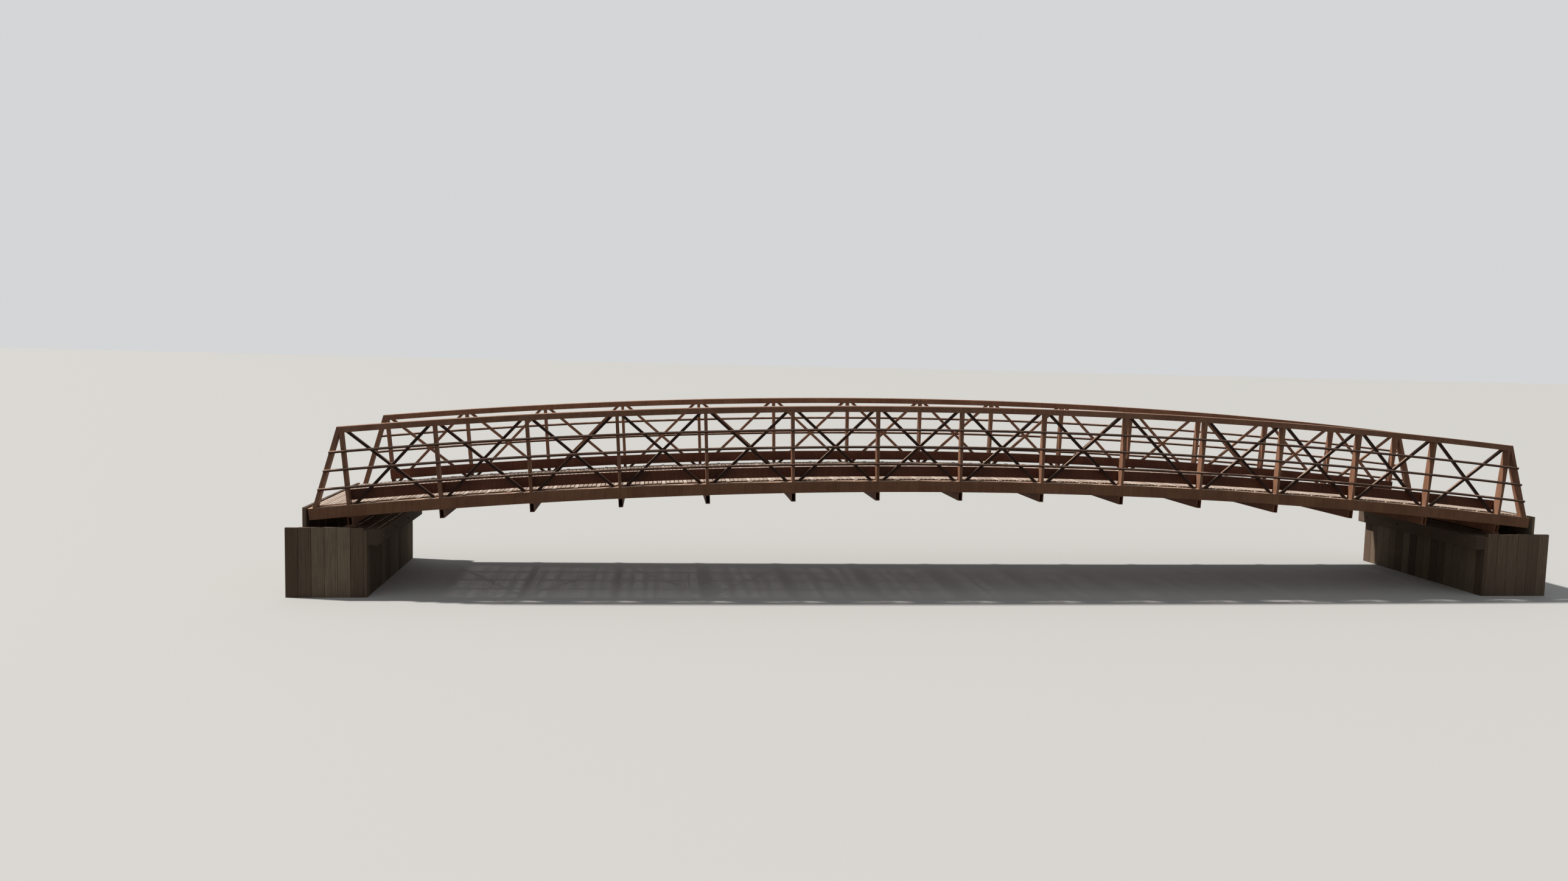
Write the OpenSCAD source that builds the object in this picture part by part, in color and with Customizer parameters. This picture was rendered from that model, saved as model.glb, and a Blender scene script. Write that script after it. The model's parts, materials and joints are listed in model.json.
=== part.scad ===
// Arched steel pony-truss footbridge with a boarded deck, on two timber abutments.
// X runs along the bridge, Y across it and Z up. The origin is on the ground under mid-span.
// Lengths along the bridge are measured on the arch, at the top edge of the bottom chords,
// and levels on the bridge are heights above that edge.

/* [Arch and bays] */
// Length of one truss bay
bay = 1524; // [1300:4:1800]
// Number of bays, even, so that a post stands at mid-span
bay_count = 14; // [8:2:16]
// Radius of the arch
arch_r = 108700; // [80000:100:200000]
// Length of the bottom chords beyond the last posts
chord_overrun = 663; // [600:1:760]
// Gap in the joint at mid-span, where the two halves of the bridge meet
joint_gap = 3; // [1:0.5:10]

/* [Trusses] */
// Clear width between the two trusses
clear_w = 3060; // [2400:10:4000]
// Clear height between the chords
truss_h = 1233; // [1100:1:1400]
// Width of the chords and posts, across the bridge
chord_w = 152; // [120:1:200]
// Depth of the top chords
top_chord_h = 106; // [76:1:152]
// Depth of the bottom chords
bottom_chord_h = 203; // [180:1:254]
// Radius of the chords' long edges
chord_edge_r = 12; // [4:1:20]
// Width of a post, along the bridge
post_w = 54; // [40:1:76]
// Radius of the posts' long edges
post_edge_r = 8; // [3:0.5:12]
// Side of the square diagonals
brace_w = 51; // [38:1:64]
// Radius of the diagonals' long edges
brace_edge_r = 8; // [3:0.5:12]
// Distance from a post's axis to where a diagonal's axis meets the chord
brace_foot = 106; // [96:1:160]
// Width of the sloping end posts
end_post_w = 64; // [51:1:90]
// Outer edge of a sloping end post at the top of the truss, beyond the last post's axis
end_top_out = 53; // [45:1:90]
// Outer edge of a sloping end post at its foot, beyond the last post's axis
end_foot_out = 587; // [450:1:590]
// Length of the splice plates in the top chords
splice_len = 300; // [200:5:400]
// Height of the splice plates
splice_h = 82; // [40:1:100]
// Thickness of the splice plates
splice_t = 8; // [5:1:12]

/* [Rails] */
// Side of the square rails
rail_w = 38; // [30:1:50]
// Radius of the rails' long edges
rail_edge_r = 6; // [3:0.5:10]
// Level of the lower rail's axis
rail_low = 317; // [280:1:340]
// Spacing of the three rails
rail_pitch = 308; // [270:1:320]
// Height of the toe boards
toe_h = 169; // [120:1:190]
// Thickness of the toe boards
toe_t = 38; // [20:1:50]
// Level of the toe boards' lower edge
toe_gap = 93; // [60:1:120]

/* [Deck] */
// Thickness of the deck boards
deck_t = 25; // [20:1:50]
// Gap between the deck and each truss, and between the outer joists and each truss
deck_gap = 10; // [4:1:25]
// Width of a deck board
board_w = 64; // [50:1:90]
// Gap between deck boards
board_gap = 12; // [4:1:20]
// Reach of the long boards over the bottom chords
board_reach = 50; // [30:1:80]
// Number of joists under the deck
joist_count = 5; // [3:1:7]
// Width of a joist
joist_w = 51; // [38:1:76]
// Depth of the floor beams
floor_beam_h = 152; // [120:1:200]
// Width of the floor beams
floor_beam_w = 76; // [60:1:102]
// Wall of the floor beams
floor_beam_wall = 8; // [5:1:12]
// Side of the square wind bracing
wind_w = 38; // [25:1:51]
// Distance from the floor beams' top down to the wind bracing
wind_drop = 10; // [5:1:50]
// Distance from a truss's inner face to the end of a wind brace
wind_inset = 180; // [80:1:250]

/* [Bearings] */
// Length of the sole plates and rubber pads, along the bridge
sole_l = 150; // [120:1:160]
// Width of the sole plates, rubber pads and base plates, across the bridge
plate_w = 250; // [200:1:300]
// Thickness of a sole plate at its middle
sole_t = 30; // [25:1:45]
// Thickness of the rubber pads
pad_t = 25; // [15:1:40]
// Length of the base plates, along the bridge
base_l = 240; // [236:1:300]
// Thickness of the base plates
base_t = 15; // [10:1:25]
// Distance between the two anchor bolts of a base plate
bolt_pitch = 190; // [186:1:200]
// Radius of the anchor bolt holes
bolt_r = 11; // [8:0.5:12]
// Depth of the anchor bolt holes in the cap beams
bolt_depth = 180; // [120:5:195]

/* [Abutments] */
// Height of the cap beams' tops above the ground
abutment_h = 1150; // [900:10:2500]
// Width of a cap beam, along the bridge
cap_w = 460; // [320:10:600]
// Depth of the cap beams and of the walings
cap_h = 254; // [200:1:350]
// Thickness of the timber walls
wall_t = 60; // [40:1:100]
// Width of a waling in front of a wall
waling_w = 183; // [120:1:250]
// Gap between the trusses' outer faces and the wing walls
wing_gap = 38; // [38:1:400]
// Rise of the wing walls above the cap beams
wing_rise = 60; // [0:5:150]
// Reach of the wing walls behind the back walls
wing_tail = 270; // [60:5:600]
// Gap between the end of the bridge and the back wall
back_gap = 20; // [10:1:60]
// Diameter of the round piles under the cap beams
pile_d = 250; // [180:5:300]
// Gap between the outer piles and the wing walls
pile_gap = 20; // [5:5:200]
// Number of piles under each cap beam
pile_count = 4; // [2:1:6]

/* [Hidden] */

near = -1;
far = 1;
left = -1;
right = 1;
lower = 0;
middle = 1;
upper = 2;
quarters = 4;
cut = 1;
arch_fn = 1800;
round_fn = 48;
edge_fn = 32;

steel = [0.24, 0.16, 0.12];
deck_wood = [0.66, 0.55, 0.48];
timber = [0.42, 0.33, 0.25];
rubber = [0.12, 0.12, 0.12];

// Truss and deck
half_bays = bay_count / 2;
half_span = bay * half_bays;
half_len = half_span + chord_overrun;
inner_y = clear_w / 2;
outer_y = inner_y + chord_w;
mid_y = inner_y + chord_w / 2;
deck_y = inner_y - deck_gap;
crest = truss_h + top_chord_h;
end_slope = (end_foot_out - end_top_out) / crest;

// The bearings sit level under the tilted end floor beams, and carry the arch
end_angle = arc_angle(half_span);
beam_bottom = bottom_chord_h + floor_beam_h;
bearing_x = (arch_r - beam_bottom) * sin(end_angle);
bearing_z = abutment_h + base_t + pad_t + sole_t;
centre_z = bearing_z - (arch_r - beam_bottom) * cos(end_angle);
bearing_y = outer_y - plate_w / 2;

// The back walls stand just beyond the ends of the deck, as high as its top
deck_end_x = (arch_r + deck_t) * sin(arc_angle(half_len));
deck_end_z = centre_z + (arch_r + deck_t) * cos(arc_angle(half_len));
back_x = deck_end_x + back_gap;
wing_y = outer_y + wing_gap;
front_x = bearing_x - cap_w / 2;

function arc_angle(s) = s / arch_r * 180 / PI;

// The point at the distance s and at a level, as x and z in the frame that station() gives
function arch_point(s, level) = [
    (arch_r + level) * sin(arc_angle(s)),
    (arch_r + level) * cos(arc_angle(s)) - arch_r
];

// Puts its children on the arch, at the distance s from mid-span
module station(s) {
    translate([0, 0, centre_z])
        rotate([0, arc_angle(s), 0])
            translate([0, 0, arch_r])
                children();
}

// Turns the right end of the bridge round into the left one
module at_end(end) {
    rotate([0, 0, end == left ? 180 : 0])
        children();
}

// The outline of a rolled section, with round edges unless edge_r is 0
module section(width, height, edge_r) {
    translate([edge_r, 0])
        square([width - 2 * edge_r, height]);
    if (edge_r > 0) {
        translate([0, edge_r])
            square([width, height - 2 * edge_r]);
        for (x = [edge_r, width - edge_r], y = [edge_r, height - edge_r])
            translate([x, y])
                circle(r = edge_r, $fn = edge_fn);
    }
}

// A bar bent to the arch, from s0 to s1, between two levels, from y0 to y1
module arc_bar(s0, s1, low, high, y0, y1, edge_r = 0) {
    translate([0, 0, centre_z])
        rotate([90, 0, 0])
            rotate([0, 0, 90 - arc_angle(s1)])
                rotate_extrude(angle = arc_angle(s1 - s0), $fn = arch_fn)
                    translate([arch_r + low, -y1])
                        section(high - low, y1 - y0, edge_r);
}

// A bent bar from the joint at mid-span to one end, from the distance y0 to y1 from the middle line
module half_bar(side, end, reach, low, high, y0, y1, edge_r = 0) {
    arc_bar(end == left ? -reach : joint_gap / 2, end == left ? -joint_gap / 2 : reach,
            low, high, side == near ? -y1 : y0, side == near ? -y0 : y1, edge_r);
}

// A flat outline in the frame that station() gives, as thick as width and centred on y
module plate_at(s, y, width) {
    station(s)
        translate([0, y, 0])
            rotate([90, 0, 0])
                linear_extrude(width, center = true)
                    children();
}

module top_chord(side, end) {
    color(steel)
        half_bar(side, end, half_span + post_w / 2, truss_h, crest, inner_y, outer_y, chord_edge_r);
}

module bottom_chord(side, end) {
    color(steel)
        half_bar(side, end, half_len, -bottom_chord_h, 0, inner_y, outer_y, chord_edge_r);
}

module posts(side) {
    color(steel)
        for (k = [-half_bays : half_bays])
            station(k * bay)
                translate([-post_w / 2, side * mid_y - chord_w / 2, 0])
                    linear_extrude(truss_h)
                        section(post_w, chord_w, post_edge_r);
}

// One diagonal, rising to the right, in the frame that station() gives at the middle of its bay.
// Its ends are cut to lie on the chords.
module diagonal() {
    foot = arch_point(bay / 2 - brace_foot, 0);
    head = arch_point(bay / 2 - brace_foot, truss_h);
    rise = head[1] - foot[1];
    run = head[0] + foot[0];
    intersection() {
        translate([-foot[0], 0, foot[1]])
            rotate([0, atan2(run, rise), 0])
                translate([-brace_w / 2, -brace_w / 2, -2 * brace_w])
                    linear_extrude(norm([run, rise]) + 4 * brace_w)
                        section(brace_w, brace_w, brace_edge_r);
        rotate([90, 0, 0])
            linear_extrude(brace_w + 2 * cut, center = true)
                polygon([
                    arch_point(-bay / 2, 0),
                    arch_point(bay / 2 - 2 * brace_foot, 0),
                    arch_point(bay / 2, truss_h),
                    arch_point(2 * brace_foot - bay / 2, truss_h)
                ]);
    }
}

// The crossed diagonals of each bay, welded where they cross
module diagonals(side) {
    color(steel)
        for (k = [0 : bay_count - 1])
            station((k + 0.5) * bay - half_span)
                translate([0, side * mid_y, 0]) {
                    diagonal();
                    mirror([1, 0, 0])
                        diagonal();
                }
}

// The sloping posts that close a truss at both ends, mitred into the top chord
module end_posts(side) {
    slope_w = end_post_w * sqrt(1 + end_slope * end_slope);
    color(steel)
        for (end = [left, right])
            at_end(end)
                plate_at(half_span, end * side * mid_y, chord_w)
                    difference() {
                        polygon([
                            arch_point(end_top_out - slope_w, crest),
                            arch_point(end_top_out, crest),
                            arch_point(end_foot_out, 0),
                            arch_point(end_foot_out - slope_w, 0)
                        ]);
                        polygon([
                            arch_point(-bay, 0),
                            arch_point(post_w / 2, 0),
                            arch_point(post_w / 2, crest + cut),
                            arch_point(-bay, crest + cut)
                        ]);
                    }
}

// The plates that join the halves of the top chords at mid-span, on their inner faces
module splice_plates() {
    color(steel)
        for (side = [near, far])
            station(0)
                translate([0, side * (inner_y - splice_t / 2), truss_h + top_chord_h / 2])
                    cube([splice_len, splice_t, splice_h], center = true);
}

// A rail on a truss's outer face, reaching to the sloping end posts
module rail(side, row) {
    level = rail_low + row * rail_pitch;
    reach = half_span + end_foot_out - end_slope * level;
    color(steel)
        for (end = [left, right])
            half_bar(side, end, reach, level - rail_w / 2, level + rail_w / 2,
                     outer_y, outer_y + rail_w, rail_edge_r);
}

module toe_board(side) {
    color(steel)
        for (end = [left, right])
            half_bar(side, end, half_span + post_w / 2, toe_gap, toe_gap + toe_h, inner_y - toe_t, inner_y);
}

// A flat piece of the deck from s0 to s1, with its ends at the distance y from the middle line
module deck_piece(s0, s1, y) {
    station((s0 + s1) / 2)
        translate([(s0 - s1) / 2, -y, 0])
            cube([s1 - s0, 2 * y, deck_t]);
}

// Half of the deck. Each long board lies a quarter of a bay from the next, over the bottom chords,
// with a field of short boards, laid close, between them and on each side of the posts.
module deck(end) {
    spacing = bay / quarters;
    last = half_bays * quarters;
    long_edge = board_w / 2 + board_gap;
    color(deck_wood)
        at_end(end)
            for (n = [0 : last]) {
                first_s = n * spacing + (n % quarters == 0 ? board_gap / 2 : long_edge);
                last_s = (n + 1) * spacing - ((n + 1) % quarters == 0 ? board_gap / 2 : long_edge);
                deck_piece(first_s, n == last ? half_len : last_s, deck_y);
                if (n % quarters != 0)
                    deck_piece(n * spacing - board_w / 2, n * spacing + board_w / 2, inner_y + board_reach);
            }
}

module joists() {
    first_y = -deck_y + joist_w / 2;
    pitch = -2 * first_y / (joist_count - 1);
    color(steel)
        for (i = [0 : joist_count - 1], end = [left, right]) {
            y = first_y + i * pitch;
            half_bar(far, end, half_len - joist_w, -bottom_chord_h, 0, y - joist_w / 2, y + joist_w / 2);
        }
}

// The beams that close the floor at both ends, between the bottom chords
module end_beams() {
    color(steel)
        for (end = [left, right])
            at_end(end)
                arc_bar(half_len - joist_w, half_len, -bottom_chord_h, 0, -inner_y, inner_y);
}

module floor_beam_block(k, margin, over) {
    width = floor_beam_w - 2 * margin;
    height = floor_beam_h - 2 * margin;
    station(k * bay)
        translate([0, 0, -bottom_chord_h - floor_beam_h / 2])
            cube([width, 2 * (outer_y + over), height], center = true);
}

// Open-ended tubes under the bottom chords, one at each post
module floor_beams() {
    color(steel)
        for (k = [-half_bays : half_bays])
            difference() {
                floor_beam_block(k, 0, 0);
                floor_beam_block(k, floor_beam_wall, cut);
            }
}

// Wind braces between the floor beams, sloping the other way in each bay
module wind_bracing() {
    run = bay - floor_beam_w;
    spread = 2 * (inner_y - wind_inset);
    skew = atan2(spread, run);
    bar_l = norm([run, spread]) + 2 * wind_w;
    color(steel)
        for (k = [-half_bays : half_bays - 1])
            difference() {
                station((k + 0.5) * bay)
                    translate([0, 0, -bottom_chord_h - wind_drop - wind_w / 2])
                        rotate([0, 0, k % 2 == 0 ? skew : -skew])
                            cube([bar_l, wind_w, wind_w], center = true);
                floor_beam_block(k, 0, 0);
                floor_beam_block(k + 1, 0, 0);
            }
}

// Repeats its children at the four bearings
module bearings() {
    for (end = [left, right], side = [near, far])
        at_end(end)
            translate([bearing_x, side * bearing_y, 0])
                children();
}

// Steel plates bevelled to the slope of the end floor beams, level underneath
module sole_plates() {
    drop = sole_l / 2 * tan(end_angle);
    color(steel)
        bearings()
            translate([0, 0, bearing_z])
                rotate([90, 0, 0])
                    linear_extrude(plate_w, center = true)
                        polygon([
                            [-sole_l / 2, -sole_t],
                            [sole_l / 2, -sole_t],
                            [sole_l / 2, -drop],
                            [-sole_l / 2, drop]
                        ]);
}

module rubber_pads() {
    color(rubber)
        bearings()
            translate([-sole_l / 2, -plate_w / 2, abutment_h + base_t])
                cube([sole_l, plate_w, pad_t]);
}

module bolt_holes(low, high) {
    for (way = [-1, 1])
        translate([way * bolt_pitch / 2, 0, low])
            cylinder(h = high - low, r = bolt_r, $fn = round_fn);
}

module base_plates() {
    color(steel)
        bearings()
            difference() {
                translate([-base_l / 2, -plate_w / 2, abutment_h])
                    cube([base_l, plate_w, base_t]);
                bolt_holes(abutment_h - cut, abutment_h + base_t + cut);
            }
}

// The timber beam that the bearings are bolted to
module cap_beam(end) {
    color(timber)
        at_end(end)
            difference() {
                translate([front_x, -wing_y, abutment_h - cap_h])
                    cube([cap_w, 2 * wing_y, cap_h]);
                for (side = [near, far])
                    translate([bearing_x, side * bearing_y, 0])
                        bolt_holes(abutment_h - bolt_depth, abutment_h + cut);
            }
}

module front_wall(end) {
    color(timber)
        at_end(end)
            translate([front_x - wall_t, -wing_y - wall_t, 0])
                cube([wall_t, 2 * (wing_y + wall_t), abutment_h]);
}

module waling(end) {
    color(timber)
        at_end(end)
            translate([front_x - wall_t - waling_w, -wing_y - wall_t, abutment_h - cap_h])
                cube([waling_w, 2 * (wing_y + wall_t), cap_h]);
}

module wing_walls(end) {
    reach = back_x + wall_t + wing_tail - front_x;
    color(timber)
        at_end(end)
            for (side = [near, far])
                translate([front_x, side * (wing_y + wall_t / 2) - wall_t / 2, 0])
                    cube([reach, wall_t, abutment_h + wing_rise]);
}

// The wall behind the end of the bridge, level with the end of the deck
module back_wall(end) {
    color(timber)
        at_end(end)
            translate([back_x, -wing_y, 0])
                cube([wall_t, 2 * wing_y, deck_end_z]);
}

module piles(end) {
    outer_pile_y = wing_y - pile_gap - pile_d / 2;
    pitch = 2 * outer_pile_y / (pile_count - 1);
    color(timber)
        at_end(end)
            for (i = [0 : pile_count - 1])
                translate([bearing_x, i * pitch - outer_pile_y, 0])
                    cylinder(h = abutment_h - cap_h, d = pile_d, $fn = round_fn);
}

top_chord(near, left);  // near_top_chord_left
top_chord(near, right);  // near_top_chord_right
top_chord(far, left);  // far_top_chord_left
top_chord(far, right);  // far_top_chord_right
bottom_chord(near, left);  // near_bottom_chord_left
bottom_chord(near, right);  // near_bottom_chord_right
bottom_chord(far, left);  // far_bottom_chord_left
bottom_chord(far, right);  // far_bottom_chord_right
posts(near);  // near_posts
posts(far);  // far_posts
diagonals(near);  // near_diagonals
diagonals(far);  // far_diagonals
end_posts(near);  // near_end_posts
end_posts(far);  // far_end_posts
splice_plates();
rail(near, upper);  // near_upper_rail
rail(near, middle);  // near_middle_rail
rail(near, lower);  // near_lower_rail
rail(far, upper);  // far_upper_rail
rail(far, middle);  // far_middle_rail
rail(far, lower);  // far_lower_rail
toe_board(near);  // near_toe_board
toe_board(far);  // far_toe_board
deck(left);  // deck_left
deck(right);  // deck_right
joists();
end_beams();
floor_beams();
wind_bracing();
sole_plates();
rubber_pads();
base_plates();
cap_beam(left);  // left_cap_beam
waling(left);  // left_waling
front_wall(left);  // left_front_wall
wing_walls(left);  // left_wing_walls
back_wall(left);  // left_back_wall
piles(left);  // left_piles
cap_beam(right);  // right_cap_beam
waling(right);  // right_waling
front_wall(right);  // right_front_wall
wing_walls(right);  // right_wing_walls
back_wall(right);  // right_back_wall
piles(right);  // right_piles
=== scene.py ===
"""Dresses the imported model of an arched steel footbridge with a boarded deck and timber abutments."""

import json
import math
import random

import bpy
from mathutils import Matrix, Vector, noise


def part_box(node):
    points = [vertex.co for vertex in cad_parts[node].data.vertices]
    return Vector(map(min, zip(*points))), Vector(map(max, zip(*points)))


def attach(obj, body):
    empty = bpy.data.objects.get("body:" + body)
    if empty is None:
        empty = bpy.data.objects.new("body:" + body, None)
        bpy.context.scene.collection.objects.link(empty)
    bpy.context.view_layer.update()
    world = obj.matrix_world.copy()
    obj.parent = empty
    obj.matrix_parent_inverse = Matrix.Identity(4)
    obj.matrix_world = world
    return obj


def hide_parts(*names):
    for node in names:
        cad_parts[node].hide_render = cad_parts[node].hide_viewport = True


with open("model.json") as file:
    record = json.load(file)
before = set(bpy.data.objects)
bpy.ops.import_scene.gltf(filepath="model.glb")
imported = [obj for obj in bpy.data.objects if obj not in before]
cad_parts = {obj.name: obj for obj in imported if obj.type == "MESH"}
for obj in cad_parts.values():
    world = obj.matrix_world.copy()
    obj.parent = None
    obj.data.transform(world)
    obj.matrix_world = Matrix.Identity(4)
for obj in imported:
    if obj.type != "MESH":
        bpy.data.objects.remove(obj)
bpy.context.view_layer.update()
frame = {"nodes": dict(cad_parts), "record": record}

# The camera stands left of mid-span and a little above the rails.
# A pale floor, a pale dome and one sun, high on the left and slightly behind, make a plain studio.
IMAGE_W = 2576
FOCAL_PIXELS = 1801.2
CAMERA_PLACE = Vector((-5.503, -20.859, 4.359))
CAMERA_TURN = 0.1177
CAMERA_DIP = 0.0813
CAMERA_ROLL = 0.0250

camera_data = bpy.data.cameras.new("camera")
camera_data.sensor_width = 36
camera_data.lens = FOCAL_PIXELS / IMAGE_W * camera_data.sensor_width
camera_data.clip_end = 1000
camera = bpy.data.objects.new("camera", camera_data)
camera.matrix_world = (
    Matrix.Translation(CAMERA_PLACE)
    @ Matrix.Rotation(-CAMERA_TURN, 4, "Z")
    @ Matrix.Rotation(math.pi / 2 - CAMERA_DIP, 4, "X")
    @ Matrix.Rotation(CAMERA_ROLL, 4, "Z")
)
bpy.context.scene.collection.objects.link(camera)
bpy.context.scene.camera = camera
bpy.context.scene.view_settings.view_transform = "Standard"

SUN_SIDE = Vector((-0.67, 0.16, 0.72))
sun_data = bpy.data.lights.new("sun", "SUN")
sun_data.energy = 4.5
sun_data.angle = math.radians(2.5)
sun_data.color = (1.0, 0.96, 0.90)
sun = bpy.data.objects.new("sun", sun_data)
sun.rotation_euler = SUN_SIDE.to_track_quat("Z", "Y").to_euler()
bpy.context.scene.collection.objects.link(sun)

DOME_COLOUR = (0.66, 0.67, 0.68, 1)
DOME_LOW = 0.12
DOME_HIGH = 0.70
world = bpy.data.worlds.new("studio")
bpy.context.scene.world = world
world.use_nodes = True
dome = world.node_tree
height = dome.nodes.new("ShaderNodeSeparateXYZ")
dome.links.new(dome.nodes.new("ShaderNodeTexCoord").outputs["Generated"], height.inputs[0])
fill = dome.nodes.new("ShaderNodeMapRange")
fill.inputs["To Min"].default_value = DOME_LOW
fill.inputs["To Max"].default_value = DOME_HIGH
dome.links.new(height.outputs["Z"], fill.inputs["Value"])
strength = dome.nodes.new("ShaderNodeMath")
strength.operation = "MAXIMUM"
dome.links.new(dome.nodes.new("ShaderNodeLightPath").outputs["Is Camera Ray"], strength.inputs[0])
dome.links.new(fill.outputs[0], strength.inputs[1])
dome.nodes["Background"].inputs["Color"].default_value = DOME_COLOUR
dome.links.new(strength.outputs[0], dome.nodes["Background"].inputs["Strength"])

FLOOR_SIZE = 600
bpy.ops.mesh.primitive_plane_add(size=FLOOR_SIZE)
floor = bpy.context.object
floor.name = "floor"
FLOOR_SEEN = (0.50, 0.50, 0.495, 1)
FLOOR_BOUNCE = (0.20, 0.20, 0.195, 1)
floor_paint = bpy.data.materials.new("floor")
floor_paint.use_nodes = True
floor_tree = floor_paint.node_tree
floor_rays = floor_tree.nodes.new("ShaderNodeLightPath")
floor_colour = floor_tree.nodes.new("ShaderNodeMix")
floor_colour.data_type = "RGBA"
floor_colour.inputs[6].default_value = FLOOR_BOUNCE
floor_colour.inputs[7].default_value = FLOOR_SEEN
floor_tree.links.new(floor_rays.outputs["Is Camera Ray"], floor_colour.inputs[0])
floor_tree.links.new(floor_colour.outputs[2], floor_tree.nodes["Principled BSDF"].inputs["Base Color"])
floor_tree.nodes["Principled BSDF"].inputs["Roughness"].default_value = 0.9
floor.data.materials.append(floor_paint)


# Trusses: square steel tubes with round edges, welded together and painted a dark chocolate
# brown. Rust shows in small spots, rain has left faint streaks, and the tops are lighter: partly
# bleached, partly a painted highlight of the sun.
def new_paint(name):
    """A new material, with its nodes and its shader."""
    material = bpy.data.materials.new(name)
    material.use_nodes = True
    return material, material.node_tree, material.node_tree.nodes["Principled BSDF"]


def stretched(tree, scale, offset=None):
    """Object coordinates, stretched, and slid by an offset where one is linked."""
    place = tree.nodes.new("ShaderNodeTexCoord").outputs["Object"]
    if offset is not None:
        slide = tree.nodes.new("ShaderNodeVectorMath")
        slide.operation = "ADD"
        tree.links.new(place, slide.inputs[0])
        tree.links.new(offset, slide.inputs[1])
        place = slide.outputs[0]
    mapping = tree.nodes.new("ShaderNodeMapping")
    mapping.inputs["Scale"].default_value = scale
    tree.links.new(place, mapping.inputs["Vector"])
    return mapping.outputs["Vector"]


def mottle(tree, place, scale, low, high, detail=4, roughness=0.6):
    """A noise pattern that runs from 0 to 1 between the values low and high."""
    cloud = tree.nodes.new("ShaderNodeTexNoise")
    cloud.inputs["Scale"].default_value = scale
    cloud.inputs["Detail"].default_value = detail
    cloud.inputs["Roughness"].default_value = roughness
    tree.links.new(place, cloud.inputs["Vector"])
    return spread_out(tree, cloud.outputs["Fac"], low, high)


def calculate(tree, operation, a, b):
    """One sum, of two sockets or numbers."""
    made = tree.nodes.new("ShaderNodeMath")
    made.operation = operation
    for socket, value in zip(made.inputs, (a, b)):
        if isinstance(value, (int, float)):
            socket.default_value = value
        else:
            tree.links.new(value, socket)
    return made.outputs[0]


def blend_colour(tree, amount, under, over):
    """One colour laid over another, by an amount from 0 to 1."""
    made = tree.nodes.new("ShaderNodeMix")
    made.data_type = "RGBA"
    for socket, value in zip((made.inputs[0], made.inputs[6], made.inputs[7]), (amount, under, over)):
        if isinstance(value, float):
            socket.default_value = value
        elif isinstance(value, tuple):
            socket.default_value = (*value, 1)
        else:
            tree.links.new(value, socket)
    return made.outputs[2]


def normal_part(tree, axis):
    """One part of the surface's normal: 0 is X, 1 is Y and 2 is Z."""
    geometry = tree.nodes.new("ShaderNodeNewGeometry")
    split = tree.nodes.new("ShaderNodeSeparateXYZ")
    tree.links.new(geometry.outputs["Normal"], split.inputs[0])
    return split.outputs[axis]


def spread_out(tree, value, low, high):
    """A value that runs from 0 to 1 between low and high."""
    spread = tree.nodes.new("ShaderNodeMapRange")
    spread.inputs["From Min"].default_value = low
    spread.inputs["From Max"].default_value = high
    tree.links.new(value, spread.inputs["Value"])
    return spread.outputs[0]


def upward(tree, low, high):
    """How far a face looks up, from 0 to 1 between two heights of its normal."""
    return spread_out(tree, normal_part(tree, 2), low, high)


def raise_surface(tree, shader, height, depth):
    """Bumps the shader's surface by a height pattern."""
    bump = tree.nodes.new("ShaderNodeBump")
    bump.inputs["Distance"].default_value = depth
    bump.inputs["Strength"].default_value = 0.5
    tree.links.new(height, bump.inputs["Height"])
    tree.links.new(bump.outputs["Normal"], shader.inputs["Normal"])


RUST = (0.230, 0.082, 0.032)
# The pale colour of faces that look up: partly bleached paint, partly a painted highlight of the sun.
BLEACH_AND_HIGHLIGHT_COLOUR = (0.480, 0.320, 0.240)
BLEACH_AND_HIGHLIGHT_SPAN = 0.5
STREAK_SHADE = 0.5
STREAK_STRENGTH = 0.4
FADED_DULLNESS = 0.5
PAINT_GRAIN = 0.25


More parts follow.
